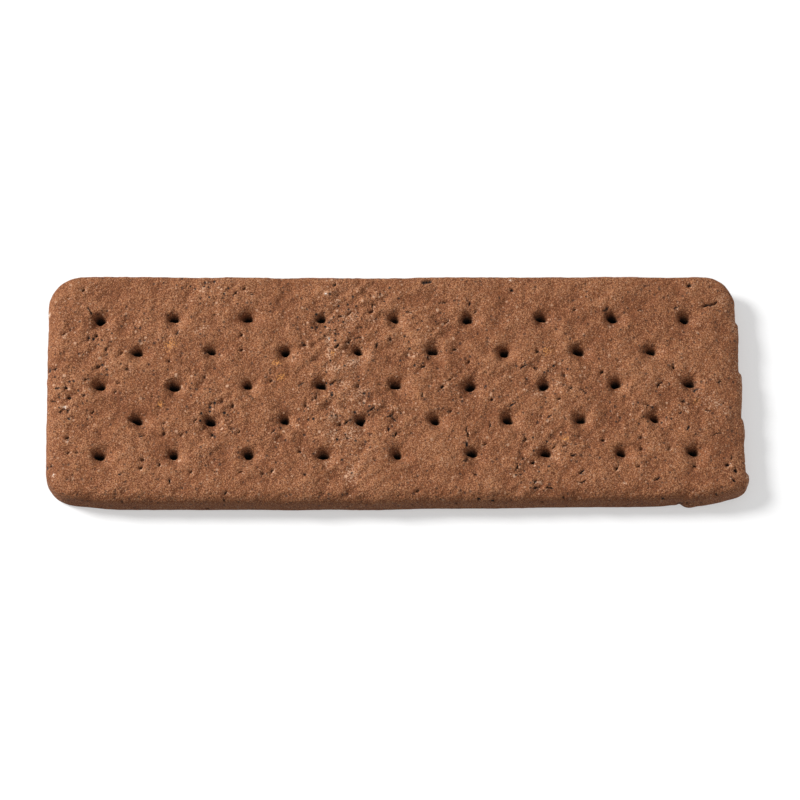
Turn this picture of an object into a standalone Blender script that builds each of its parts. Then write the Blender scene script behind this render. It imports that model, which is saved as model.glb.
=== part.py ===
"""A long cocoa biscuit: an oblong wafer with rounded corners, rolled shoulders, a
right end that sinks a little, slightly uneven sides and five staggered rows of
docking holes that narrow towards the flat base. +X runs along it, and it lies on z = 0."""

import math
from random import Random

import bmesh
import bpy
from mathutils import Euler, Matrix, Vector, noise

MM = 0.001

# Slab
LENGTH = 119.6 * MM
WIDTH = 41.6 * MM
THICKNESS = 5.2 * MM
# How the top rolls off towards each side, as (run in the plan, drop to the side's top)
SHOULDERS = {
    (1, 0): (3.4 * MM, 1.5 * MM),
    (-1, 0): (2.8 * MM, 1.9 * MM),
    (0, 1): (1.0 * MM, 0.8 * MM),
    (0, -1): (2.4 * MM, 1.9 * MM),
}
END_SAG = {1: (7.5 * MM, 0.85 * MM), -1: (5.0 * MM, 0.12 * MM)}  # end: (reach, depth)
BASE_TUCK = 0.2 * MM  # the side draws in where it meets the base
BASE_TUCK_HEIGHT = 0.5 * MM
CORNER_RADIUS = {
    (-1, 1): 5.6 * MM,
    (1, 1): 5.1 * MM,
    (-1, -1): 6.2 * MM,
    (1, -1): 4.2 * MM,
}

# Uneven sides, as (place along the side, half width, bulge outwards)
RIGHT_BULGES = (
    (-18.0 * MM, 2.6 * MM, 0.5 * MM),
    (-8.6 * MM, 1.8 * MM, 0.25 * MM),
    (0.0 * MM, 3.0 * MM, 0.25 * MM),
    (10.0 * MM, 3.5 * MM, 0.2 * MM),
)
FRONT_BULGES = (
    (59.0 * MM, 5.0 * MM, -1.3 * MM),
    (50.0 * MM, 1.0 * MM, 0.2 * MM),
    (48.4 * MM, 0.45 * MM, -0.35 * MM),
    (47.6 * MM, 1.8 * MM, -0.3 * MM),
    (-8.0 * MM, 24.0 * MM, 0.25 * MM),
    (-54.5 * MM, 4.5 * MM, -0.65 * MM),
)
BACK_BULGES = (
    (-56.5 * MM, 2.5 * MM, -0.12 * MM),
    (-49.0 * MM, 11.0 * MM, 0.25 * MM),
    (-5.0 * MM, 10.0 * MM, -0.12 * MM),
)
SIDE_WAVE = 9.0 * MM
SIDE_WAVE_DEPTH = 0.12 * MM
SIDE_REACH = 3.4 * MM  # how far in from the side its unevenness fades out

# Relief of the top
LUMPS = ((8.0 * MM, 0.13 * MM), (3.2 * MM, 0.09 * MM))  # (spacing, height)
LUMP_LAYER = 7.3  # how far apart in the noise the two spacings are read

# Docking holes
ROWS = (9, 8, 9, 8, 9)
HOLE_PITCH = 12.7 * MM
ROW_PITCH = HOLE_PITCH / 2
DOCKING_SHIFT = Vector((-0.01, 0.32, 0.0)) * MM
HOLE_JITTER = 0.1 * MM
HOLE_SEED = 55148
HOLE_TILT = math.radians(5)
TILT_SEED = 23
DIMPLE_RADIUS = 2.9 * MM
DIMPLE_DEPTH = 0.7 * MM
DIMPLE_SHIFT = Vector((0.4, -0.3, 0.0)) * MM  # from the hole's middle
# The pin that leaves the hole, as (radius, height above the slab's top)
PIN_PROFILE = (
    (0.0, 0.6 * MM),
    (1.5 * MM, 0.6 * MM),
    (1.1 * MM, -0.4 * MM),
    (0.66 * MM, -1.4 * MM),
    (0.36 * MM, -THICKNESS - 0.6 * MM),
    (0.0, -THICKNESS - 0.6 * MM),
)
PIN_SIDES = 10

# Pits, cracks and chips of the top, as (x, y, length, width, turn in degrees)
MARKS = (
    (-52.5, 13.9, 2.6, 0.5, -57),
    (-51.3, 10.4, 1.9, 0.6, -80),
    (-53.7, 18.2, 0.9, 0.7, 20),
    (-3.8, 13.8, 1.8, 0.7, -30),
    (51.8, 19.0, 1.0, 0.8, 0),
    (55.3, 15.4, 2.4, 0.7, 20),
    (-58.3, 3.6, 1.9, 0.5, 0),
    (-55.9, -2.2, 1.1, 0.8, 10),
    (-56.2, -9.5, 0.9, 0.8, 0),
    (-43.7, -15.1, 1.0, 0.7, 15),
    (-31.5, -8.8, 1.4, 0.8, 30),
    (-15.7, 7.7, 1.1, 0.7, -20),
    (-5.0, -5.0, 2.6, 0.6, 24),
    (-1.0, -7.0, 0.9, 0.8, 0),
    (-9.8, -7.1, 1.1, 0.7, 40),
    (24.5, 6.4, 1.0, 0.8, 0),
    (28.2, -2.5, 0.9, 0.8, 0),
    (18.3, -8.1, 0.9, 0.8, 0),
    (25.5, -19.0, 1.7, 0.6, 0),
    (23.2, -17.7, 1.1, 0.8, 20),
    (35.8, 2.4, 0.9, 0.8, 0),
    (48.3, 3.3, 1.0, 0.8, 0),
    (49.9, -3.2, 1.5, 0.8, -10),
    (37.3, -15.5, 1.0, 0.8, 0),
    (43.9, -17.6, 1.4, 0.6, 35),
    (56.5, -14.8, 0.9, 0.8, 0),
    (57.7, -15.8, 1.1, 0.8, 20),
    (55.7, -19.3, 1.0, 0.9, 30),
    (57.0, 18.1, 1.0, 0.8, -40),
    (5.6, 20.2, 1.5, 1.0, 0),
    (-59.2, -14.5, 1.1, 0.5, 0),
)
MARK_DEPTH = 0.45 * MM
PIT_COUNT = 20  # smaller pits between the holes
PIT_SEED = 5
PIT_LENGTH = (0.6, 1.0)
PIT_ROUNDNESS = 0.8
PIT_SPREAD = (0.46 * LENGTH, 0.42 * WIDTH)  # how far from the middle they lie
PIT_CLEARANCE = 2.5 * MM  # from the middle of the nearest hole

# Mesh
CELL = ROW_PITCH / 4
EDGE_LINES = (0.5 * MM, 1.2 * MM, 2.4 * MM, 3.8 * MM, 5.2 * MM)  # in from each side
SIDE_LINES = (BASE_TUCK_HEIGHT, 3.4 * MM, 4.5 * MM)
MARK_SIDES = 6
KEPT_FACES = 0.92  # share of the faces kept where the surface is flattest

COCOA = (0.262, 0.106, 0.051, 1.0)
COCOA_ROUGHNESS = 0.85


def clear_scene():
    for item in list(bpy.data.objects):
        bpy.data.objects.remove(item, do_unlink=True)


def new_collection(name):
    collection = bpy.data.collections.new(name)
    bpy.context.scene.collection.children.link(collection)
    return collection


def docking_holes():
    """Where each hole lies, row by row from the back."""
    draw = Random(HOLE_SEED)
    holes = []
    for row, count in enumerate(ROWS):
        for column in range(count):
            x = (column - (count - 1) / 2) * HOLE_PITCH
            y = ((len(ROWS) - 1) / 2 - row) * ROW_PITCH
            off = Vector((draw.gauss(0, HOLE_JITTER), draw.gauss(0, HOLE_JITTER), 0))
            holes.append(Vector((x, y, 0)) + DOCKING_SHIFT + off)
    return holes


def grid_lines(size):
    """The cuts across one side of the slab: close at both ends, even between them."""
    half = size / 2
    lines = []
    for inset in EDGE_LINES:
        lines += [half - inset, inset - half]
    cells = math.ceil(half / CELL)
    for step in range(-cells, cells + 1):
        if abs(step * CELL) < half - EDGE_LINES[-1] - CELL / 2:
            lines.append(step * CELL)
    return lines


def gridded_slab():
    bm = bmesh.new()
    bmesh.ops.create_cube(bm, size=1.0)
    bmesh.ops.translate(bm, vec=(0, 0, 0.5), verts=bm.verts)
    bmesh.ops.scale(bm, vec=(LENGTH, WIDTH, THICKNESS), verts=bm.verts)
    for axis, lines in enumerate((grid_lines(LENGTH), grid_lines(WIDTH), SIDE_LINES)):
        for line in lines:
            place = Vector((0, 0, 0))
            place[axis] = line
            across = Vector((0, 0, 0))
            across[axis] = 1
            everything = bm.verts[:] + bm.edges[:] + bm.faces[:]
            bmesh.ops.bisect_plane(
                bm, geom=everything, dist=1e-7, plane_co=place, plane_no=across
            )
    base = [face for face in bm.faces if face.calc_center_median().z < 1e-6]
    bmesh.ops.dissolve_faces(bm, faces=base, use_verts=False)
    return bm


def rounded_plan(x, y):
    """Turns a square corner of the plan into a round one, ring by ring."""
    radius = CORNER_RADIUS[(1 if x > 0 else -1, 1 if y > 0 else -1)]
    u = abs(x) - (LENGTH / 2 - radius)
    v = abs(y) - (WIDTH / 2 - radius)
    if u > 0 and v > 0:
        pull = max(u, v) / math.hypot(u, v)
        x = math.copysign(abs(x) - u + u * pull, x)
        y = math.copysign(abs(y) - v + v * pull, y)
    return x, y, radius


def bulge_at(bulges, place):
    total = 0.0
    for centre, half_width, bulge in bulges:
        total += bulge * math.exp(-(((place - centre) / half_width) ** 2))
    return total


def side_unevenness(x, y, outward):
    right = max(0.0, outward.x) ** 2 * bulge_at(RIGHT_BULGES, y)
    front = max(0.0, -outward.y) ** 2 * bulge_at(FRONT_BULGES, x)
    back = max(0.0, outward.y) ** 2 * bulge_at(BACK_BULGES, x)
    wave = noise.noise(Vector((x, y, 0)) / SIDE_WAVE) * SIDE_WAVE_DEPTH
    return right + front + back + wave


def shoulder_towards(outward):
    """The shoulder's run and drop on the side that this direction faces."""
    run = drop = 0.0
    for (side_x, side_y), (side_run, side_drop) in SHOULDERS.items():
        share = max(0.0, outward.x * side_x + outward.y * side_y) ** 2
        run += share * side_run
        drop += share * side_drop
    return run, drop


def top_relief(x, y, holes):
    height = 0.0
    for end, (reach, depth) in END_SAG.items():
        height -= depth * max(0.0, 1 - (LENGTH / 2 - end * x) / reach) ** 2
    for number, (spacing, lump) in enumerate(LUMPS):
        place = Vector((x, y, 0)) / spacing + Vector((0, 0, LUMP_LAYER * number))
        height += lump * noise.noise(place)
    for hole in holes:
        dimple = hole + DIMPLE_SHIFT
        away = math.hypot(x - dimple.x, y - dimple.y) / DIMPLE_RADIUS
        if away < 1:
            height -= DIMPLE_DEPTH * (1 - away**2) ** 2
    return height


def shaped(corner, holes):
    """Moves one point of the gridded slab to its place on the biscuit."""
    x, y, radius = rounded_plan(corner.x, corner.y)
    z = corner.z
    core = Vector((
        max(-(LENGTH / 2 - radius), min(LENGTH / 2 - radius, x)),
        max(-(WIDTH / 2 - radius), min(WIDTH / 2 - radius, y)),
        0,
    ))
    out = Vector((x, y, 0)) - core
    if out.length > 1e-9:
        outward = out.normalized()
        inset = radius - out.length
        run, drop = shoulder_towards(outward)
        across = 1 - inset / run
        up = 1 - (THICKNESS - z) / drop
        if across > 0 and up > 0:
            pull = max(across, up) / math.hypot(across, up)
            inset = run * (1 - across * pull)
            z = THICKNESS - drop * (1 - up * pull)
        inset += BASE_TUCK * max(0.0, 1 - z / BASE_TUCK_HEIGHT)
        fade = max(0.0, 1 - inset / SIDE_REACH)
        reach = radius - inset + fade * side_unevenness(x, y, outward)
        x = core.x + outward.x * reach
        y = core.y + outward.y * reach
    z += top_relief(x, y, holes) * (z / THICKNESS) ** 3
    return Vector((x, y, z))


def make_slab(collection, holes):
    bm = gridded_slab()
    for vert in bm.verts:
        vert.co = shaped(vert.co, holes)
    bmesh.ops.recalc_face_normals(bm, faces=bm.faces[:])
    mesh = bpy.data.meshes.new("biscuit")
    bm.to_mesh(mesh)
    bm.free()
    slab = bpy.data.objects.new("biscuit", mesh)
    collection.objects.link(slab)
    return slab


def make_centre(collection, mesh):
    """An empty that carries everything and puts the middle of the outline at the origin."""
    centre = bpy.data.objects.new("centre", None)
    for axis in range(2):
        reach = [vert.co[axis] for vert in mesh.vertices]
        centre.location[axis] = -(min(reach) + max(reach)) / 2
    collection.objects.link(centre)
    return centre


def as_cutter(cutter, collection, centre):
    cutter.parent = centre
    cutter.hide_render = True
    cutter.display_type = "WIRE"
    collection.objects.link(cutter)


def make_pins(collection, centre, holes):
    """One tapered pin through the slab for each docking hole, all of one turned profile."""
    profile = bpy.data.meshes.new("docking_pin")
    points = [(radius, 0.0, height) for radius, height in PIN_PROFILE]
    edges = [(index, index + 1) for index in range(len(points) - 1)]
    profile.from_pydata(points, edges, [])
    draw = Random(TILT_SEED)
    for number, hole in enumerate(holes):
        pin = bpy.data.objects.new(f"docking_pin_{number + 1:02d}", profile)
        pin.location = hole + Vector((0, 0, THICKNESS))
        lean = (draw.uniform(-1, 1) * HOLE_TILT, draw.uniform(-1, 1) * HOLE_TILT, 0)
        pin.rotation_euler = Euler(lean)
        turn = pin.modifiers.new("turned", "SCREW")
        turn.steps = PIN_SIDES
        turn.render_steps = PIN_SIDES
        turn.use_merge_vertices = True
        turn.merge_threshold = 0.00001
        as_cutter(pin, collection, centre)


def scattered_pits(holes):
    """Small pits at random on the top, clear of the holes, in the form of MARKS."""
    draw = Random(PIT_SEED)
    pits = ()
    while len(pits) < PIT_COUNT:
        place = Vector([draw.uniform(-reach, reach) for reach in PIT_SPREAD] + [0])
        length = draw.uniform(*PIT_LENGTH)
        turn = draw.uniform(0, 90)
        nearest = min((place - hole).length for hole in holes)
        if nearest > PIT_CLEARANCE:
            pits += ((place.x / MM, place.y / MM, length, PIT_ROUNDNESS * length, turn),)
    return pits


def make_marks(collection, centre, slab, marks):
    """Flattened balls set in the slab's top, which leave its pits, cracks and chips."""
    bpy.context.view_layer.update()
    for number, (x, y, length, width, turn) in enumerate(marks):
        above = Vector((x * MM, y * MM, 2 * THICKNESS))
        on_top = slab.ray_cast(above, Vector((0, 0, -1)))[1]
        bm = bmesh.new()
        bmesh.ops.create_uvsphere(
            bm, u_segments=MARK_SIDES, v_segments=MARK_SIDES - 2, radius=1.0
        )
        size = Matrix.Diagonal((length / 2 * MM, width / 2 * MM, MARK_DEPTH, 1))
        bmesh.ops.transform(bm, matrix=size, verts=bm.verts)
        mesh = bpy.data.meshes.new(f"mark_{number + 1:02d}")
        bm.to_mesh(mesh)
        bm.free()
        mark = bpy.data.objects.new(mesh.name, mesh)
        mark.location = on_top
        mark.rotation_euler.z = math.radians(turn)
        as_cutter(mark, collection, centre)


def cocoa_crumb():
    material = bpy.data.materials.new("cocoa_crumb")
    material.use_nodes = True
    shader = material.node_tree.nodes["Principled BSDF"]
    shader.inputs["Base Color"].default_value = COCOA
    shader.inputs["Roughness"].default_value = COCOA_ROUGHNESS
    shader.inputs["Metallic"].default_value = 0.0
    return material


def main():
    clear_scene()
    parts = new_collection("cocoa_biscuit")
    cutters = new_collection("cutters")
    cutters.hide_render = True
    holes = docking_holes()
    biscuit = make_slab(parts, holes)
    biscuit.data.materials.append(cocoa_crumb())
    centre = make_centre(parts, biscuit.data)
    biscuit.parent = centre
    make_pins(cutters, centre, holes)
    make_marks(cutters, centre, biscuit, MARKS + scattered_pits(holes))
    docking = biscuit.modifiers.new("docking", "BOOLEAN")
    docking.operation = "DIFFERENCE"
    docking.operand_type = "COLLECTION"
    docking.collection = cutters
    lighter = biscuit.modifiers.new("lighter", "DECIMATE")
    lighter.ratio = KEPT_FACES
    biscuit.data.shade_smooth()
    biscuit.data.set_sharp_from_angle(angle=math.radians(40))


main()
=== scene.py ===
import math
import random

import bpy
import numpy as np
from mathutils import Matrix, Vector, noise


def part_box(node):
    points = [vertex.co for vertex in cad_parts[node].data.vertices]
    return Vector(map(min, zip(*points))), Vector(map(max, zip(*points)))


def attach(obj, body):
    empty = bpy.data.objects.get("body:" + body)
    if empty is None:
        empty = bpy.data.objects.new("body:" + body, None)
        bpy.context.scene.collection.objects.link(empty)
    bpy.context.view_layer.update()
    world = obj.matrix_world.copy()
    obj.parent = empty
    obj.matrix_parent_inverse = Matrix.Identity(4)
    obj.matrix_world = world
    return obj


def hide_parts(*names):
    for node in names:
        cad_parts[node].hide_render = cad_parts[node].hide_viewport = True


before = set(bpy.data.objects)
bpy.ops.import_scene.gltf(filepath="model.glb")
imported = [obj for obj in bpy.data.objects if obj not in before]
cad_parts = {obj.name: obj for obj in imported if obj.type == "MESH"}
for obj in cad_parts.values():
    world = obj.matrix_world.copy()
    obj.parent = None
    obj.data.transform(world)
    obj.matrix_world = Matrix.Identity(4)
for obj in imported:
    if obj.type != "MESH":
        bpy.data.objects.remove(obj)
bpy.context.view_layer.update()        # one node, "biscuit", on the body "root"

# The slab, in millimetres. Its outline is the solid's own.
slab = {
    "length": 119.6,
    "width": 41.6,
    "thickness": 5.2,
    # the way each side faces: over how much of the plan the top rolls off there, and how far down
    "shoulders": {(1, 0): (3.4, 1.5), (-1, 0): (2.8, 1.9), (0, 1): (1.0, 0.8), (0, -1): (2.4, 1.9)},
    "endSag": {1: (7.5, 0.85), -1: (5.0, 0.12)},     # end: how far in the top sinks, and how deep
    "baseTuck": 0.2,         # the side draws in where it meets the base
    "baseTuckHeight": 0.5,
    "baseRim": 0.55,         # how far the base's own grid stays in from the sides
    "corners": {(-1, 1): 5.6, (1, 1): 5.1, (-1, -1): 6.2, (1, -1): 4.2},
    "sideWave": (9.0, 0.12),       # spacing and depth
    "sideReach": 3.4,        # how far in from the sides their unevenness is felt
    # place along the side, half width, bulge outwards
    "rightBulges": ((-18.0, 2.6, 0.5), (-8.6, 1.8, 0.25), (0.0, 3.0, 0.25), (10.0, 3.5, 0.2)),
    "frontBulges": ((59.0, 5.0, -1.3), (47.6, 1.8, -0.3), (-8.0, 24.0, 0.25), (-54.5, 4.5, -0.65)),
    "frontTags": ((50.0, 1.0, 0.3), (48.4, 0.45, -0.35)),        # these show only low down
    "tagHeight": 2.4,
    # small steps in the right side: place, height, how far each takes to run out
    "rightSteps": ((12.3, 0.22, 4.5), (2.8, 0.24, 4.5), (-5.8, 0.16, 3.5), (-15.9, 0.2, 3.0)),
    "stepEdge": 0.25,        # how soon a step rises
    "backBulges": ((-56.5, 2.5, -0.12), (-49.0, 11.0, 0.25), (-5.0, 10.0, -0.12)),
}

# Docking holes, in millimetres
docking = {
    "rows": (9, 8, 9, 8, 9),
    "pitch": 12.7,           # from hole to hole along a row
    "shift": (-0.01, 0.32),  # of all the holes, off the middle of the slab
    "jitter": 0.1,           # of each hole
    "seed": 55148,           # picked by trying many, for offsets near the photo's
    "dimpleRadius": 2.5,
    "dimpleDepth": (0.95, 1.35),
    "dimpleShift": (0.45, -0.38),    # the pins drew the dough this way as they came out
    "dimpleStray": 0.13,
    "dimpleHighlight": {"place": (1.55, -0.8), "radius": 1.05, "strength": 0.16},     # painted highlight: paler on the lit side of each dimple
    # radius and depth of each ring of the wall under the dimple, from the throat up to the lip
    "wall": ((0.4, 3.0), (0.54, 1.6), (0.72, 0.75), (0.93, 0.28), (1.14, 0.04)),
    "widths": (0.88, 1.12),  # from hole to hole
    "flat": (1.16, 0.9),     # a hole's reach along the biscuit and across it
    "steepFront": 0.24,      # the front of each mouth is drawn in by this share, so its wall is steep
    "blackDepth": 2.2,       # the wall is painted black, as its shade, from here down
    "frontBlack": 2.0,       # how much sooner the painted shade goes black at the front
    "lean": 0.12,            # how far a hole strays sideways at most on its way down
    "leanDepth": 1.5,        # and from which depth it strays no more
    "exitRadius": 0.24,      # in the base
    "exitShift": (0.0, -0.7),        # the pins' tips came out a little nearer to the viewer
    "uneven": 0.15,          # how far from round the mouths are
}

# The surface grid: the docking's lattice is a whole number of cells
grid = {
    "cell": docking["pitch"] / 2 / 24,       # 24 cells from one row of holes to the next
    "cellsX": 450,
    "cellsY": 156,
    "coarse": 3,             # the base has one cell for this many of the top's
    "stretched": 5.5,        # how far in from the sides the cells are stretched to reach them
    "holeReach": 9,          # rings round a hole that go from round to square
    "holeBlend": 4,          # over how many of them that happens
    "holeFollow": 5,         # so many more rings move along with the hole
    "holeClear": 6,          # no pit or crack starts nearer to a hole than this
    "sideLevels": (4.75, 4.3, 3.8, 3.35, 2.9, 2.4, 1.9, 1.4, 0.9, 0.5, 0.2, 0.0),
}

# Relief of the crumb: spacing and height in millimetres
crumb = {
    "lumps": ((8.0, 0.31), (3.2, 0.3)),
    "streaks": {"along": 4.5, "across": 1.5, "height": 0.29, "turn": 38},
    "creases": {"along": 2.9, "across": 1.15, "depth": 0.22, "turn": 36},
    "creaseWidth": 0.2,      # the ground dips where their noise is within this of zero
    "creaseBreaks": (2.2, 2.5),      # spacing of the places where they break off, and how sharply
    "grain": ((1.7, 0.24), (0.95, 0.19), (0.6, 0.12)),
    "base": ((7.0, 0.2), (2.4, 0.2)),        # shallow hollows in the underside
    "sideShare": 0.3,        # how much of the grain is left on the upright sides
    "farShare": 0.4,         # how much relief is left on the far rim, which is smooth
    "farFade": 1.4,          # how soon the rim turns smooth
    "calm": 0.6,             # how much relief there is away from the rough places
    "most": 1.35,
}

# Rough, crumbly places: x, y, half length, half width, turn, strength
roughPlaces = (
    (-10.8, 9.0, 8.0, 5.0, 85, 1.0), (-10.2, -4.0, 8.0, 5.5, 80, 1.0), (-8.0, -15.0, 6.0, 3.5, 80, 0.55),
    (-31.0, -5.5, 5.0, 3.6, 30, 1.0), (-36.0, 1.5, 4.5, 3.0, 30, 0.5), (-51.0, 8.0, 6.0, 3.0, 100, 0.75),
    (-57.0, -2.0, 5.0, 2.6, 90, 0.9), (-31.5, 18.0, 6.0, 2.6, 0, 0.7), (-4.0, 16.5, 5.0, 3.4, 0, 0.9),
    (-1.0, -5.5, 4.0, 4.0, 0, 0.75), (5.0, 8.0, 8.0, 3.6, 60, 0.65), (14.0, 0.0, 8.0, 4.0, 20, 0.35),
    (25.5, 2.0, 5.0, 4.0, 20, 0.7), (24.0, -13.0, 6.5, 4.0, 60, 0.6), (43.0, -6.0, 8.0, 4.5, 20, 0.45),
    (-44.0, 9.0, 5.0, 4.0, 38, 0.3), (-20.0, -9.0, 5.0, 4.0, 38, 0.3), (49.0, 1.0, 3.0, 3.0, 0, 0.5),
)

# Pits: small ones at random in loose groups, and the ones that show most as x, y, radius, depth
pits = {
    "groups": 100,           # the places tried: most are left out where the crumb is calm
    "reach": 0.49,           # how far out they are tried, as a share of the slab's length and width
    "calmChance": 0.25,      # the chance there; it is higher where the crumb is rough
    "inGroup": (1, 6),
    "spread": 1.8,
    "sideCount": 40,
    "seed": 31,
    "radius": (0.13, 0.23),
    "depth": (0.25, 0.5),
    "wide": 0.24,            # from this radius a pit has a floor of its own
    "turn": (38, 30),        # most are long the way the crumb's streaks run: mean and scatter
    "squeeze": (0.4, 0.9),
    "rimWidth": 0.12,        # from a wide pit's floor out to its rim
    "rimDrop": 0.06,
    "rimShade": 0.1,
    "middle": 1.1,           # how much deeper a wide pit is in its middle
    "ragged": 0.2,           # how unevenly round they are
    "shade": (0.3, 0.75),    # how dark the small ones are painted, as their shade
    "lip": {"towards": -35, "height": 0.16, "pale": 0.5},        # their rims stand up on one side, which is painted pale: a painted highlight
    "largeShade": (0.5, 0.85),
    "large": (
        (-56.4, -0.3, 0.26, 0.5), (-55.3, -1.0, 0.2, 0.4), (-49.4, -14.2, 0.24, 0.5),
        (-36.7, 13.4, 0.24, 0.4), (24.2, -0.4, 0.24, 0.5), (37.2, 12.2, 0.26, 0.5),
        (-51.3, 11.0, 0.3, 0.6), (-51.4, 9.6, 0.26, 0.6), (-53.7, 18.2, 0.3, 0.6),
        (-51.6, 18.9, 0.2, 0.4), (-4.1, 14.0, 0.4, 0.5), (-3.2, 13.4, 0.3, 0.5),
        (-3.6, 17.0, 0.24, 0.4), (-11.6, 9.6, 0.3, 0.5), (20.6, 18.0, 0.28, 0.4),
        (51.8, 19.0, 0.34, 0.6), (57.6, 18.7, 0.4, 0.6), (-57.2, -2.2, 0.22, 0.4),
        (-55.9, -2.2, 0.32, 0.5), (-56.2, -9.5, 0.34, 0.6), (-43.7, -15.1, 0.3, 0.5),
        (-31.5, -8.8, 0.34, 0.5), (-30.9, -8.4, 0.24, 0.4), (-15.7, 7.7, 0.32, 0.5),
        (-1.0, -7.0, 0.3, 0.6), (-0.3, -8.9, 0.28, 0.5), (-9.8, -7.1, 0.3, 0.5),
        (4.8, 3.5, 0.36, 0.4), (7.9, -0.3, 0.28, 0.6), (24.5, 6.4, 0.3, 0.6),
        (30.2, -0.5, 0.28, 0.6), (28.2, -2.5, 0.3, 0.6), (18.3, -8.1, 0.3, 0.6),
        (23.0, -14.3, 0.28, 0.6), (23.2, -17.7, 0.28, 0.5), (-4.0, -19.9, 0.28, 0.4),
        (35.8, 2.4, 0.3, 0.6), (48.3, 3.3, 0.3, 0.6), (49.6, -3.0, 0.36, 0.6),
        (50.4, -3.4, 0.26, 0.5), (35.2, -10.2, 0.28, 0.5), (37.3, -15.5, 0.3, 0.6),
        (41.1, -15.3, 0.28, 0.5), (50.7, -15.2, 0.3, 0.6), (56.5, -14.8, 0.3, 0.5),
        (57.7, -15.8, 0.34, 0.6), (55.7, -19.3, 0.36, 0.6), (58.0, -20.1, 0.28, 0.5),
        (38.6, -18.2, 0.2, 0.4),
    ),
    # smaller ones, where a search of the photo found dark spots: x, y, radius
    "smaller": (
        (-47.6, 0.5, 0.3), (-14.5, 14.7, 0.26), (-53.1, 1.2, 0.26), (-48.7, -13.2, 0.25),
        (-48.1, -0.8, 0.24), (-43.5, -4.9, 0.25), (9.4, -4.6, 0.25), (-25.9, 18.4, 0.25),
        (10.4, 7.0, 0.3), (-51.8, -4.7, 0.3), (29.1, 1.9, 0.26), (-26.7, -15.9, 0.25),
        (-21.3, 1.1, 0.3), (-15.7, -3.6, 0.25), (13.2, -16.3, 0.24), (-21.4, -15.7, 0.26),
        (8.6, 11.2, 0.3), (-49.7, 7.0, 0.26), (-28.2, -7.8, 0.3), (-27.5, 18.6, 0.26),
        (24.3, 3.2, 0.28), (-23.0, -16.1, 0.28), (16.3, -2.6, 0.25), (-4.5, 7.1, 0.26),
        (-42.4, 8.3, 0.25), (41.7, -9.8, 0.26), (-7.6, 13.7, 0.25), (-9.2, 13.2, 0.25),
        (-45.9, 3.1, 0.3), (-54.4, -12.1, 0.25), (-29.8, -1.1, 0.22), (-29.9, -2.8, 0.26),
        (-5.5, 9.4, 0.28), (-0.8, 8.6, 0.25), (-36.5, -1.6, 0.24), (31.4, 14.2, 0.25),
        (-16.6, -12.1, 0.24), (-42.3, -4.0, 0.3), (43.5, -3.8, 0.24), (-35.3, -15.7, 0.24),
        (-8.4, -9.9, 0.24), (-27.0, -8.5, 0.25), (-56.0, -12.1, 0.3), (-26.4, 9.6, 0.25),
        (-2.7, 0.1, 0.25), (-6.7, 0.1, 0.28), (12.8, 4.4, 0.25), (-15.9, -16.5, 0.25),
        (-29.3, -19.7, 0.25), (-39.7, -6.8, 0.26), (-39.6, -8.7, 0.26), (-56.9, 9.9, 0.26),
        (21.9, -10.0, 0.25), (19.9, -3.2, 0.24), (15.1, -10.9, 0.25), (-53.4, -1.7, 0.3),
        (9.4, 1.0, 0.26), (-32.9, 1.9, 0.26), (-38.9, 4.7, 0.26), (1.5, 2.2, 0.26),
        (-40.6, -14.3, 0.25), (-31.0, 13.4, 0.25), (12.2, -7.4, 0.25), (-26.4, 7.0, 0.26),
        (-36.7, -8.9, 0.25), (-50.9, 3.8, 0.26), (-24.7, 17.2, 0.26), (-27.3, -9.5, 0.25),
        (-28.0, -3.7, 0.26), (-47.1, 6.1, 0.28), (-12.3, -5.6, 0.3), (41.9, -12.0, 0.26),
        (3.3, -19.5, 0.25), (46.5, -11.8, 0.26), (-43.4, -13.4, 0.25),
    ),
    "smallerDepth": 0.35,
    "smallerShade": (0.3, 0.65),
}

# How a crack runs, in millimetres
crackForm = {
    "stray": 0.35,           # how far it wanders off its line
    "jags": (0.9, 0.4, 0.3),         # spacing of its wandering, of its width and of its shade
    "ragged": 1.2,           # how much its width comes and goes
    "past": 0.3,             # how far past its ends it runs, in cells
    "taper": 0.5,            # the larger, the slower it widens from its ends
    "least": (0.45, 0.4),    # what is left of it at its ends and past them
    "core": 0.9,             # how many cells from its line are floor, and then rim
    "rim": 2.0,
    "floor": 0.55,           # the width of its floor, as a share of its own
    "rimWidth": 0.05,
    "shade": (0.8, 0.9, 0.3),        # painted shade of its floor: mean, how much it comes and goes, and the least
    "rimShade": 0.1,
    "longest": 5,            # in millimetres
    "lip": 0.35,             # how high one side stands, as a share of its depth; that side is also painted pale as a highlight
    "lipPale": 0.4,
}

# Short cracks: from x, y to x, y, with width and depth
cracks = (
    (-53.1, 14.9, -51.3, 12.4, 0.3, 0.35),
    (54.3, 15.0, 55.4, 15.2, 0.5, 0.6),
    (55.5, 15.1, 56.5, 15.9, 0.5, 0.7),
    (-59.0, 3.6, -57.8, 3.6, 0.35, 0.5),
    (-59.5, -14.5, -58.6, -14.6, 0.35, 0.5),
    (-6.5, -5.8, -5.5, -5.3, 0.5, 0.55),
    (-5.0, -4.7, -3.9, -4.1, 0.45, 0.5),
    (-58.3, -0.4, -57.4, -0.5, 0.35, 0.5),
    (-59.2, -2.7, -58.4, -2.6, 0.35, 0.5),
    (25.0, -19.0, 26.1, -18.9, 0.4, 0.6),
    (29.6, -13.4, 30.4, -12.9, 0.4, 0.5),
    (43.5, -17.8, 44.4, -17.2, 0.4, 0.5),
)

# Shorter tears at random, most of them along the crumb's streaks
tears = {
    "count": 70,
    "reach": (0.48, 0.46),   # how far out they lie, as shares of the slab's length and width
    "length": (0.4, 1.3),
    "width": (0.2, 0.36),
    "depth": (0.25, 0.5),
    "turn": (38, 28),
}
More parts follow.
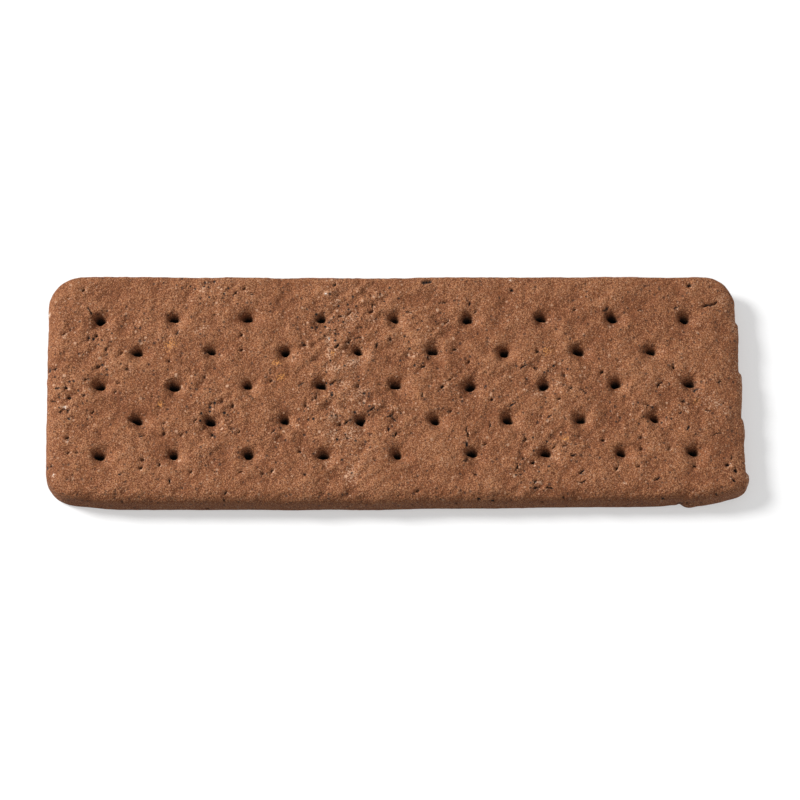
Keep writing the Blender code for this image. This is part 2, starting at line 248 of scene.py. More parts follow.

# Chips out of the rim: x, y, z, radius, depth; each is painted dark, as its shade, but for its edge
chips = (
    (5.3, 19.45, 5.1, 0.44, 0.6),
    (5.85, 19.65, 5.1, 0.42, 0.6),
    (6.4, 19.75, 5.1, 0.42, 0.6),
    (-60.0, 3.6, 4.2, 0.8, 0.35),
    (-60.0, -14.5, 4.0, 0.7, 0.3),
    (48.3, -20.9, 1.0, 0.8, 0.3),
)

chipPaint = {"shade": 0.85, "spread": 1.6}

# Pale rubbed places and flour, and painted sheen along the right rim: x, y, half length, half width, turn,
# strength
dustAndHighlight = (
    (-8.5, 0.0, 22.0, 2.8, 92, 0.12), (-11.4, 6.5, 3.2, 0.32, 88, 1.0), (-10.4, 3.4, 1.8, 0.7, 10, 0.8),
    (-6.8, 4.6, 2.4, 0.8, 25, 0.8), (-7.4, 13.0, 1.6, 1.0, 60, 0.7), (-3.9, 12.6, 0.9, 0.6, 0, 0.6),
    (-8.2, -16.5, 1.6, 1.0, 80, 0.8), (-10.0, 16.0, 1.4, 0.6, 70, 0.6), (-8.0, -9.0, 2.2, 1.2, 60, 0.6),
    (-33.1, 18.1, 0.9, 0.35, 80, 0.9), (-33.3, 10.9, 1.4, 0.7, 20, 0.7), (-6.0, -1.2, 2.0, 0.9, 30, 0.6),
    (-10.8, -5.5, 1.8, 0.9, 70, 0.8), (-11.0, -9.0, 1.5, 0.8, 80, 0.7), (-8.8, 0.3, 1.2, 0.7, 10, 0.7),
    (8.6, 0.5, 0.9, 0.6, 20, 0.6), (27.9, 0.2, 1.0, 0.6, 0, 0.6), (49.6, -4.2, 0.9, 0.6, 0, 0.8),
    # the long thin ones at x 59 to 60, along the right rim, are painted sheen
    (55.0, -3.5, 2.8, 1.0, -35, 0.55), (57.3, 16.3, 1.4, 0.6, 50, 0.7), (59.3, 11.8, 2.6, 0.5, 90, 0.6),
    (59.4, 3.0, 2.0, 0.5, 90, 0.5), (60.1, -3.0, 16.0, 0.5, 90, 0.6), (24.4, -1.4, 0.9, 0.5, 20, 0.8),
    (37.5, 11.3, 0.7, 0.4, 20, 0.9), (-12.2, -14.0, 0.8, 0.5, 70, 0.8), (-36.9, -13.3, 0.9, 0.5, 10, 0.6),
    (26.7, -13.3, 0.8, 0.5, 10, 0.6), (44.7, 5.5, 0.8, 0.5, 0, 0.6), (-57.0, 9.2, 0.38, 0.35, 0, 1.8),
    (-56.5, 10.0, 0.5, 0.3, 50, 0.9), (-59.6, 14.0, 0.35, 0.35, 0, 1.6), (-56.7, -3.8, 0.42, 0.35, 0, 2.0),
    (-56.2, -10.2, 0.35, 0.35, 0, 1.5), (-58.4, -16.1, 0.35, 0.35, 0, 1.5), (20.5, 20.0, 0.4, 0.3, 0, 1.6),
    (57.9, -20.7, 0.4, 0.35, 0, 1.8), (59.8, -16.7, 0.35, 0.35, 90, 1.5), (38.6, -18.3, 0.35, 0.35, 0, 1.6),
    (23.4, -18.0, 0.35, 0.35, 0, 1.5), (-11.4, 9.0, 0.35, 0.45, 0, 1.7), (-7.4, -16.6, 0.5, 0.35, 0, 1.5),
    (-11.8, 17.3, 0.38, 0.35, 0, 1.5), (-8.6, -9.2, 0.35, 0.32, 0, 1.5), (22.1, -0.8, 0.38, 0.32, 0, 1.4),
)

dustAndHighlightHeights = (2.0, 3.5)       # no pale rubbing or painted highlight below the first height, and all of it above the second

# Ochre flecks: x, y, half length, half width, turn, strength
ochre = (
    (-38.7, 7.8, 1.2, 0.8, 20, 0.9), (-40.3, -3.2, 0.7, 0.5, 0, 0.9), (-20.5, 4.4, 0.8, 0.6, 0, 0.8),
    (-19.8, 1.8, 0.8, 0.6, 0, 1.0), (-11.0, 6.1, 0.6, 0.5, 0, 0.9), (26.4, 6.5, 0.9, 0.6, 0, 0.8),
    (31.7, 6.5, 0.9, 0.7, 0, 0.8), (28.7, -10.1, 0.7, 0.5, 0, 0.9), (52.0, -3.0, 0.7, 0.5, 0, 0.7),
)


def signOf(values):
    return np.where(values > 0, 1.0, -1.0)


def noiseAt(points, spacing, shift):
    return np.array([noise.noise(Vector(point) / spacing + Vector(shift)) for point in points])


def smooth(values):
    clipped = np.clip(values, 0, 1)
    return clipped * clipped * (3 - 2 * clipped)


def turned(points, degrees):
    c, s = math.cos(math.radians(degrees)), math.sin(math.radians(degrees))
    x, y = points[..., 0], points[..., 1]
    return x * c + y * s, y * c - x * s


def dockingHoles():
    draw = random.Random(docking["seed"])
    rowPitch = docking["pitch"] / 2
    holes = []
    for row, count in enumerate(docking["rows"]):
        for column in range(count):
            x = (column - (count - 1) / 2) * docking["pitch"]
            y = ((len(docking["rows"]) - 1) / 2 - row) * rowPitch
            off = (draw.gauss(0, docking["jitter"]), draw.gauss(0, docking["jitter"]))
            holes.append({"lattice": (x, y), "off": off})
    return holes


def cornerRadii(x, y):
    radius = np.zeros(len(x))
    for (side, end), value in slab["corners"].items():
        radius[(signOf(x) == side) & (signOf(y) == end)] = value
    return radius


def bulgeAt(bulges, place):
    total = np.zeros(len(place))
    for centre, halfWidth, bulge in bulges:
        total += bulge * np.exp(-((place - centre) / halfWidth) ** 2)
    return total


def stepAt(steps, place):
    total = np.zeros(len(place))
    for centre, height, reach in steps:
        beyond = centre - place
        total += height * np.tanh(beyond / slab["stepEdge"]) * np.clip(1 - np.abs(beyond) / reach, 0, 1)
    return total


def shoulderTowards(outward):
    # the shoulder's run and drop where the slab faces each of these ways
    run, drop = np.zeros(len(outward)), np.zeros(len(outward))
    for side, (sideRun, sideDrop) in slab["shoulders"].items():
        share = np.clip(outward @ np.array(side), 0, 1) ** 2
        run += share * sideRun
        drop += share * sideDrop
    return np.maximum(run, 0.001), np.maximum(drop, 0.001)


def sagAt(x):
    total = np.zeros(len(x))
    for end, (reach, depth) in slab["endSag"].items():
        total += depth * np.clip(1 - (slab["length"] / 2 - end * x) / reach, 0, None) ** 2
    return total


def shapeSlab(x, y, z):
    # takes points of the square-cut slab to the biscuit; gives their places and the way each faces
    halfX, halfY = slab["length"] / 2, slab["width"] / 2
    radius = cornerRadii(x, y)
    u = np.abs(x) - (halfX - radius)
    v = np.abs(y) - (halfY - radius)
    inCorner = (u > 0) & (v > 0)
    pull = np.where(inCorner, np.maximum(u, v) / np.maximum(np.hypot(u, v), 1e-9), 1)
    x = np.where(inCorner, signOf(x) * (halfX - radius + u * pull), x)
    y = np.where(inCorner, signOf(y) * (halfY - radius + v * pull), y)
    coreX = np.clip(x, radius - halfX, halfX - radius)
    coreY = np.clip(y, radius - halfY, halfY - radius)
    out = np.stack([x - coreX, y - coreY], 1)
    away = np.linalg.norm(out, axis=1)
    outward = out / np.maximum(away, 1e-9)[:, None]
    inset = radius - away
    thickness = slab["thickness"]
    run, drop = shoulderTowards(outward)
    across = np.clip(1 - inset / run, 0, 1)
    up = np.clip(1 - (thickness - z) / drop, 0, 1)
    pull = np.maximum(across, up) / np.maximum(np.hypot(across, up), 1e-9)
    onShoulder = (across > 0) & (up > 0)
    across, up = across * pull, up * pull
    inset = np.where(onShoulder, run * (1 - across), inset)
    z = np.where(onShoulder, thickness - drop * (1 - up), z)
    inset = inset + slab["baseTuck"] * np.clip(1 - z / slab["baseTuckHeight"], 0, 1)
    spacing, depth = slab["sideWave"]
    right = bulgeAt(slab["rightBulges"], y) + stepAt(slab["rightSteps"], y)
    low = np.clip(1 - z / slab["tagHeight"], 0, 1)
    uneven = np.clip(outward[:, 0], 0, 1) ** 2 * right
    uneven += np.clip(-outward[:, 1], 0, 1) ** 2 * bulgeAt(slab["frontTags"], x) * low
    uneven += np.clip(-outward[:, 1], 0, 1) ** 2 * bulgeAt(slab["frontBulges"], x)
    uneven += np.clip(outward[:, 1], 0, 1) ** 2 * bulgeAt(slab["backBulges"], x)
    uneven += noiseAt(np.stack([x, y, 0 * x], 1), spacing, (0, 0, 0)) * depth
    reach = radius - inset + np.clip(1 - inset / slab["sideReach"], 0, 1) * uneven
    moved = away > 1e-9
    x = np.where(moved, coreX + outward[:, 0] * reach, x)
    y = np.where(moved, coreY + outward[:, 1] * reach, y)
    facing = np.stack([outward[:, 0] * across / run, outward[:, 1] * across / run, up / drop], 1)
    facing[~onShoulder & (up > 0)] = (0, 0, 1)
    wall = ~onShoulder & (up <= 0)
    facing[wall] = np.column_stack([outward[wall], np.zeros(wall.sum())])
    facing /= np.maximum(np.linalg.norm(facing, axis=1), 1e-9)[:, None]
    z = z - sagAt(x) * (z / thickness) ** 3
    return np.stack([x, y, z], 1), facing


def latticeLines():
    # even steps along and across, stretched a little near the sides to reach them exactly
    lines = []
    for cells, half in ((grid["cellsX"], slab["length"] / 2), (grid["cellsY"], slab["width"] / 2)):
        steps = (np.arange(cells + 1) - cells / 2) * grid["cell"]
        start = half - grid["stretched"]
        scale = (half - start) / (cells / 2 * grid["cell"] - start)
        far = np.abs(steps) > start
        lines.append(np.where(far, np.sign(steps) * (start + (np.abs(steps) - start) * scale), steps))
    return lines


def borderRing(cellsX, cellsY):
    # the grid's border, once round, anticlockwise seen from above
    ring = [(i, 0) for i in range(cellsX)]
    ring += [(cellsX, j) for j in range(cellsY)]
    ring += [(i, cellsY) for i in range(cellsX, 0, -1)]
    ring += [(0, j) for j in range(cellsY, 0, -1)]
    return ring


def squareRing(size):
    # lattice steps of the square ring at this distance, once round in the same way
    return [(i - size, j - size) for i, j in borderRing(2 * size, 2 * size)]


def paintSpots(points, spots):
    total = np.zeros(len(points))
    for x, y, half, side, turn, strength in spots:
        along, aside = turned(points[:, :2] - (x, y), turn)
        total = np.maximum(total, strength * np.exp(-(along / half) ** 2 - (aside / side) ** 2))
    return total


def isRough(x, y, draw):
    # by chance: always in the roughest places, now and then in the calm ones
    return draw.random() < pits["calmChance"] + paintSpots(np.array([[x, y]]), roughPlaces)[0]


def makeTop():
    flatX, flatY = np.meshgrid(*latticeLines(), indexing="ij")
    points, facing = shapeSlab(flatX.ravel(), flatY.ravel(), np.full(flatX.size, slab["thickness"]))
    shape = flatX.shape
    return {
        "shape": shape,
        "points": points.reshape(shape + (3,)),
        "facing": facing.reshape(shape + (3,)),
        "lift": np.zeros(shape),
        # painted shade in hole walls, pits and cracks
        "dark": np.zeros(shape),
        # painted highlight on the raised lips of pits and cracks
        "pale": np.zeros(shape),
        "wall": np.zeros(shape, bool),       # inside a hole's mouth
        "free": np.ones(shape, bool),        # nothing made here yet
    }


def nodeNear(top, x, y):
    away = np.abs(top["points"][..., 0] - x) + np.abs(top["points"][..., 1] - y)
    return np.unravel_index(np.argmin(away), top["shape"])


def makeHole(top, hole, draw):
    # square rings of the grid become round ones, and the inner ones go down the wall
    lattice = np.array(hole["lattice"])
    i0 = int(round(lattice[0] / grid["cell"])) + grid["cellsX"] // 2
    j0 = int(round(lattice[1] / grid["cell"])) + grid["cellsY"] // 2
    centre = lattice + docking["shift"] + hole["off"]
    hole["centre"] = centre
    stray = [draw.gauss(0, docking["dimpleStray"]) for _ in range(2)]
    hole["dimple"] = centre + docking["dimpleShift"] + stray
    hole["dimpleDepth"] = draw.uniform(*docking["dimpleDepth"])
    hole["node"] = (i0, j0)
    reach = grid["holeReach"]
    width = draw.uniform(*docking["widths"])
    lean = np.array([draw.uniform(-docking["lean"], docking["lean"]) for _ in range(2)])
    phase = [draw.uniform(0, 2 * math.pi) for _ in range(3)]
    walls = len(docking["wall"])
    for size in range(1, reach + grid["holeFollow"]):
        for a, b in squareRing(size):
            node = (i0 + a, j0 + b)
            angle = math.atan2(b, a)
            flat = top["points"][node][:2] - lattice
            roundShare = float(smooth(np.array((reach - size) / grid["holeBlend"])))
            radius = size * grid["cell"]
            depth = 0.0
            front = max(0, -math.sin(angle))
            if size <= walls:
                radius, depth = docking["wall"][size - 1]
                wobble = sum(math.cos((n + 2) * angle + phase[n]) / (n + 1.5) for n in range(3))
                radius *= width * (1 + docking["uneven"] * wobble)
                radius *= 1 - docking["steepFront"] * front * (size - 1) / (walls - 1)
            elif size == walls + 1:
                radius = 0.5 * (radius + width * docking["wall"][-1][0] + grid["cell"])
            roundPlace = np.array([math.cos(angle), math.sin(angle)]) * docking["flat"] * radius
            follow = float(smooth(np.array((reach + grid["holeFollow"] - size) / reach)))
            place = (1 - roundShare) * flat + roundShare * roundPlace
            place = place + (centre - lattice) * follow + lattice
            place += lean * min(depth, docking["leanDepth"]) / docking["leanDepth"]
            top["points"][node][:2] = place
            top["lift"][node] -= depth
            # the wall is painted darker with depth, and sooner at the front: painted shade inside the hole
            if size <= walls:
                sooner = 1 + docking["frontBlack"] * front
                top["dark"][node] = min(1, depth / docking["blackDepth"] * sooner)
                top["wall"][node] = True
    clear = grid["holeClear"]
    top["free"][i0 - clear:i0 + clear + 1, j0 - clear:j0 + clear + 1] = False


def makePit(top, x, y, radius, depth, shade, draw):
    # the nodes round one node close to the pit's rim; a wide pit takes a second ring for its rim
    i0, j0 = nodeNear(top, x, y)
    patch = (slice(i0 - 2, i0 + 3), slice(j0 - 2, j0 + 3))
    if not (3 < i0 < grid["cellsX"] - 3 and 3 < j0 < grid["cellsY"] - 3):
        return False
    if not top["free"][patch].all():
        return False
    centre = top["points"][i0, j0].copy()
    turn = draw.gauss(*pits["turn"])
    squeeze = draw.uniform(*pits["squeeze"])
    wide = radius >= pits["wide"]
    for size in (2, 1) if wide else (1,):
        onFloor = wide and size == 1
        for a, b in squareRing(size):
            angle = math.atan2(b, a) - math.radians(turn)
            rim = radius if onFloor or not wide else radius + pits["rimWidth"]
            rim *= 1 + draw.uniform(-pits["ragged"], pits["ragged"])
            step = np.array([math.cos(angle), math.sin(angle) * squeeze]) * rim
            node = (i0 + a, j0 + b)
            top["points"][node][:2] = centre[:2] + np.array(turned(step, -turn))
            lip = 0 if onFloor else max(0, math.cos(angle + math.radians(turn - pits["lip"]["towards"])))
            top["lift"][node] += pits["lip"]["height"] * lip - (depth if onFloor else pits["rimDrop"])
            # the raised side of the rim is painted pale as a highlight; the floor, the middle and a little
            # of the rim are painted dark as the pit's shade
            top["pale"][node] = max(top["pale"][node], pits["lip"]["pale"] * lip)
            top["dark"][node] = max(top["dark"][node], shade if onFloor else pits["rimShade"] * (1 - lip))
    top["lift"][i0, j0] -= depth * (pits["middle"] if wide else 1)
    top["dark"][i0, j0] = shade
    top["free"][patch] = False
    return True


def noiseAlong(place, spacing, shift):
    steps = np.linspace(-1, crackForm["longest"], 121)
    levels = [noise.noise(Vector((step / spacing + shift, shift, 0))) for step in steps]
    return np.interp(place, steps, levels)


def makeCrack(top, crack, draw):
    x0, y0, x1, y1, width, depth = crack
    start, end = np.array([x0, y0]), np.array([x1, y1])
    along = end - start
    length = np.linalg.norm(along)
    along = along / length
    aside = np.array([-along[1], along[0]])
    rel = top["points"][..., :2] - start
    place = rel @ along
    jag = draw.uniform(0, 60)
    jagged = [noiseAlong(place, spacing, jag) for spacing in crackForm["jags"]]
    off = rel @ aside - crackForm["stray"] * jagged[0]
    past, coreReach, rimReach = (crackForm[name] * grid["cell"] for name in ("past", "core", "rim"))
    near = (place > -past) & (place < length + past) & ~top["wall"]
    atEnd, least = crackForm["least"]
    taper = np.clip(np.minimum(place, length - place) / crackForm["taper"] + atEnd, least, 1)
    core = near & (np.abs(off) < coreReach)
    rim = near & ~core & (np.abs(off) < rimReach)
    half = 0.5 * width * taper * (1 + crackForm["ragged"] * jagged[1])
    pulledCore = np.sign(off[core]) * half[core] * crackForm["floor"] - off[core]
    pulledRim = np.sign(off[rim]) * (half[rim] + crackForm["rimWidth"]) - off[rim]
    top["points"][core] += np.append(aside, 0) * pulledCore[:, None]
    top["points"][rim] += np.append(aside, 0) * pulledRim[:, None]
    top["lift"][core] -= depth * taper[core]
    # one side's lip stands up and is painted pale as a highlight; the floor and the rim are painted dark as
    # shade
    top["lift"][rim & (off < 0)] += crackForm["lip"] * depth
    top["pale"][rim & (off < 0)] = crackForm["lipPale"]
    shade, change, lightest = crackForm["shade"]
    top["dark"][core] = np.clip(shade + change * jagged[2][core], lightest, 1)
    top["dark"][rim] = np.maximum(top["dark"][rim], crackForm["rimShade"])
    top["free"][core | rim] = False


def randomTears(draw):
    made = []
    reachX, reachY = tears["reach"]
    while len(made) < tears["count"]:
        x = draw.uniform(-reachX, reachX) * slab["length"]
        y = draw.uniform(-reachY, reachY) * slab["width"]
        if not isRough(x, y, draw):
            continue
        turn = math.radians(draw.gauss(*tears["turn"]))
        length = draw.uniform(*tears["length"])
        end = (x + length * math.cos(turn), y + length * math.sin(turn))
        made.append((x, y, *end, draw.uniform(*tears["width"]), draw.uniform(*tears["depth"])))
    return made


def makeSides():
    ring = borderRing(grid["cellsX"], grid["cellsY"])
    linesX, linesY = latticeLines()
    x = np.array([linesX[i] for i, j in ring])
    y = np.array([linesY[j] for i, j in ring])
    rows = [shapeSlab(x, y, np.full(len(ring), level)) for level in grid["sideLevels"]]
    points = np.concatenate([row[0] for row in rows])
    facing = np.concatenate([row[1] for row in rows])
    return ring, points, facing


def noiseAcross(points, form, shift):
    # noise that is long one way and short the other, turned on the plan
    along, aside = turned(points, form["turn"])
    stretched = np.stack([along / form["along"], aside / form["across"], 0 * along], 1)
    return noiseAt(stretched, 1, shift)


def crumbLift(points, facing):
    # height of the crumb's relief over the plain slab; each noise has a shift of its own
    share = np.clip(points[:, 2] / slab["thickness"], 0, 1) ** 3
    ground = points * (1, 1, 0)
    lift = np.zeros(len(points))
    for number, (spacing, height) in enumerate(crumb["lumps"]):
        lift += height * noiseAt(ground, spacing, (0, 0, 7.3 * number))
    rough = crumb["calm"] + (crumb["most"] - crumb["calm"]) * paintSpots(points, roughPlaces)
    streaks, creases = crumb["streaks"], crumb["creases"]
    lift += rough * streaks["height"] * noiseAcross(points, streaks, (2.2, 5.1, 3.3))
    middle = np.abs(noiseAcross(points, creases, (8.8, 0.4, 6.1)))
    valley = np.clip(1 - middle / crumb["creaseWidth"], 0, 1)
    spacing, sharpness = crumb["creaseBreaks"]
    broken = smooth(0.5 + sharpness * noiseAt(ground, spacing, (4.1, 9.3, 1.2)))
    lift -= rough * creases["depth"] * valley * broken
    lift *= share
    upward = crumb["sideShare"] + (1 - crumb["sideShare"]) * np.clip(facing[:, 2], 0, 1)
    for number, (spacing, height) in enumerate(crumb["grain"]):
        lift += upward * rough * height * noiseAt(points, spacing, (3.1, 4.7, 11.9 * number))
    lift *= 1 - (1 - crumb["farShare"]) * np.clip(crumb["farFade"] * facing[:, 1], 0, 1)
    return lift * np.clip(points[:, 2] / slab["baseTuckHeight"], 0, 1)


def dimpleAt(points, holes):
    depth = np.zeros(len(points))
    for hole in holes:
        away = np.hypot(points[:, 0] - hole["dimple"][0], points[:, 1] - hole["dimple"][1])
        depth += hole["dimpleDepth"] * np.clip(1 - (away / docking["dimpleRadius"]) ** 2, 0, 1) ** 2
    return depth * (points[:, 2] / slab["thickness"]) ** 3


def makeSidePits(lift, dark, start, count, draw):
    levels = len(grid["sideLevels"])
    for _ in range(pits["sideCount"]):
        row = draw.randrange(1, levels - 3)
        place = start + row * count + draw.randrange(count - 1)
        depth = draw.uniform(*pits["depth"])
        # each side pit is painted fully dark, as its shade
        for step in range(draw.choice((1, 1, 2))):
            lift[place + step] -= depth
            dark[place + step] = 1.0


def makeChips(points, lift, dark):
    for x, y, z, radius, depth in chips:
        away = np.linalg.norm(points - (x, y, z), axis=1) / radius
        share = np.clip(1 - away ** 2, 0, 1)
        lift -= depth * share
        # painted shade in each chip
        shade = chipPaint["shade"] * smooth(share * chipPaint["spread"])
        dark[:] = np.maximum(dark, shade)


def makeBase(holes):
    step = grid["coarse"]
    linesX, linesY = latticeLines()
    flatX, flatY = np.meshgrid(linesX[::step], linesY[::step], indexing="ij")
    halfX, halfY = slab["length"] / 2, slab["width"] / 2
    flatX = np.sign(flatX) * np.minimum(np.abs(flatX), halfX - slab["baseRim"])
    flatY = np.sign(flatY) * np.minimum(np.abs(flatY), halfY - slab["baseRim"])
    points = shapeSlab(flatX.ravel(), flatY.ravel(), np.zeros(flatX.size))[0]
    for spacing, height in crumb["base"]:
        points[:, 2] += height * np.abs(noiseAt(points * (1, 1, 0), spacing, (6.6, 2.9, 0)))
    points = points.reshape(flatX.shape + (3,))
    for hole in holes:
        i0, j0 = hole["node"][0] // step, hole["node"][1] // step
        for a, b in squareRing(1):
            angle = math.atan2(b, a)
            out = np.array([math.cos(angle), math.sin(angle)]) * docking["exitRadius"]
            points[i0 + a, j0 + b][:2] = hole["centre"] + docking["exitShift"] + out
    return points


def gridFaces(shape, offset, holesAt, facingUp):
    skip = set()
    for i, j in holesAt:
        skip.update({(i - 1, j - 1), (i, j - 1), (i - 1, j), (i, j)})
    faces = []
    for i in range(shape[0] - 1):
        for j in range(shape[1] - 1):
            if (i, j) in skip:
                continue
            a = offset + i * shape[1] + j
            quad = (a, a + shape[1], a + shape[1] + 1, a + 1)
            faces.append(quad if facingUp else quad[::-1])
    return faces


def markTop(top, draw):
    # cracks first, then the pits between them
    for crack in list(cracks) + randomTears(draw):
        makeCrack(top, crack, draw)
    made = 0
    for x, y, radius, depth in pits["large"]:
        shade = draw.uniform(*pits["largeShade"])
        made += makePit(top, x, y, radius, depth, shade, draw)
    for x, y, radius in pits["smaller"]:
        shade = draw.uniform(*pits["smallerShade"])
        made += makePit(top, x, y, radius, pits["smallerDepth"], shade, draw)
    for _ in range(pits["groups"]):
        x = draw.uniform(-pits["reach"], pits["reach"]) * slab["length"]
        y = draw.uniform(-pits["reach"], pits["reach"]) * slab["width"]
        if not isRough(x, y, draw):
            continue
        for _ in range(draw.randint(*pits["inGroup"])):
            place = (x + draw.gauss(0, pits["spread"]), y + draw.gauss(0, pits["spread"]))
            form = [draw.uniform(*pits[name]) for name in ("radius", "depth", "shade")]
            made += makePit(top, *place, *form, draw)
    print("pits and cracks:", made, len(cracks) + tears["count"])


def joinFaces(top, holes, ring, baseStart, baseShape):
    # top, sides, base, the strip from the fine last band of the sides to the coarse base, and throats
    faces = gridFaces(top["shape"], 0, [hole["node"] for hole in holes], True)
    across = top["shape"][1]
    start = top["shape"][0] * across
    count = len(ring)
    upper = [i * across + j for i, j in ring]
    for row in range(len(grid["sideLevels"])):
        lower = list(range(start + row * count, start + (row + 1) * count))
        for n in range(count):
            after = (n + 1) % count
            faces.append((upper[n], lower[n], lower[after], upper[after]))
        upper = lower
    step = grid["coarse"]
    baseHoles = [(hole["node"][0] // step, hole["node"][1] // step) for hole in holes]
    faces += gridFaces(baseShape, baseStart, baseHoles, False)
    border = borderRing(baseShape[0] - 1, baseShape[1] - 1)
    baseRing = [baseStart + i * baseShape[1] + j for i, j in border]
    for n in range(len(baseRing)):
        fine = [upper[(step * n + k) % count] for k in range(step, -1, -1)]
        faces.append(tuple(fine) + (baseRing[n], baseRing[(n + 1) % len(baseRing)]))
    for hole, (baseI, baseJ) in zip(holes, baseHoles):
        i0, j0 = hole["node"]
        throat = [(i0 + a) * across + j0 + b for a, b in squareRing(1)]
        leaving = [baseStart + (baseI + a) * baseShape[1] + baseJ + b for a, b in squareRing(1)]
        for n in range(len(throat)):
            after = (n + 1) % len(throat)
            faces.append((throat[n], throat[after], leaving[after], leaving[n]))
    return faces


def paintMarks(points, pale, holes):
    low, high = dustAndHighlightHeights
    reached = smooth((points[:, 2] - low) / (high - low))
    # each dimple gets a painted highlight on its lit side
    dimpleHighlight = docking["dimpleHighlight"]
    spots = list(dustAndHighlight)
    for hole in holes:
        x, y = hole["centre"] + dimpleHighlight["place"]
        spots.append((x, y, dimpleHighlight["radius"], dimpleHighlight["radius"], 0, dimpleHighlight["strength"]))
    return {
        # pale rubbed places together with painted highlights on lips, dimples and the right rim
        "dustAndHighlight": np.maximum(pale, paintSpots(points, spots)) * reached,
        "rough": paintSpots(points, roughPlaces),
        "ochre": paintSpots(points, ochre) * reached,
    }


def placeMesh(points, faces, paint):
    # grid points inside the holes' throats are left out, as no face uses them
    used = np.zeros(len(points), bool)
    for face in faces:
        used[list(face)] = True
    renumber = np.cumsum(used) - 1
    faces = [tuple(int(renumber[v]) for v in face) for face in faces]
    mesh = bpy.data.meshes.new("biscuit_crumb")
    mesh.from_pydata((points[used] * 0.001).tolist(), [], faces)
    mesh.update()
    for name, values in paint.items():
        layer = mesh.attributes.new(name, "FLOAT", "POINT")
        layer.data.foreach_set("value", values[used].astype(np.float32))
    mesh.shade_smooth()
    piece = bpy.data.objects.new("biscuit_crumb", mesh)
    bpy.context.scene.collection.objects.link(piece)
    triangles = sum(len(face) - 2 for face in faces)
    print("biscuit mesh:", used.sum(), "points,", triangles, "triangles")
    return piece


def makeBiscuit():
    top = makeTop()
    holes = dockingHoles()
    draw = random.Random(docking["seed"] + 1)
    for hole in holes:
        makeHole(top, hole, draw)
    print("docking holes:", len(holes))
    plain = top["points"].reshape(-1, 3).copy()
    draw = random.Random(pits["seed"])
    markTop(top, draw)

    ring, sidePoints, sideFacing = makeSides()
    sideBlank = np.zeros(len(sidePoints))
    points = np.concatenate([top["points"].reshape(-1, 3), sidePoints])
    facing = np.concatenate([top["facing"].reshape(-1, 3), sideFacing])
    ground = np.concatenate([plain, sidePoints])
    relief = crumbLift(ground, facing)
    lift = relief + np.concatenate([top["lift"].ravel(), sideBlank])
    lift -= dimpleAt(ground, holes)
    # painted shade of holes, pits and cracks, then of side pits and chips
    dark = np.concatenate([top["dark"].ravel(), sideBlank])
    makeSidePits(lift, dark, len(plain), len(ring), draw)
    makeChips(points, lift, dark)
    surface = points + facing * lift[:, None]
    print("crumb relief made")

    basePoints = makeBase(holes)
    faces = joinFaces(top, holes, ring, len(surface), basePoints.shape[:2])
    points = np.concatenate([surface, basePoints.reshape(-1, 3)])
    blank = np.zeros(len(points) - len(surface))
    # painted highlights on the raised lips of pits and cracks
    pale = np.concatenate([top["pale"].ravel(), sideBlank, blank])
    paint = {
        "paintedShade": np.concatenate([dark, blank]),
        # the crumb's relief, which the colour follows as painted light and shade
        "ridge": np.concatenate([relief, blank]),
        **paintMarks(points, pale, holes),
    }
    # the middle of its outline goes to the middle of the solid's
    outline = np.array([sidePoints.min(0), sidePoints.max(0)]).mean(0)
    solid = np.array(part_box("biscuit")).mean(0) * 1000
    return placeMesh(points + (solid - outline) * (1, 1, 0), faces, paint)


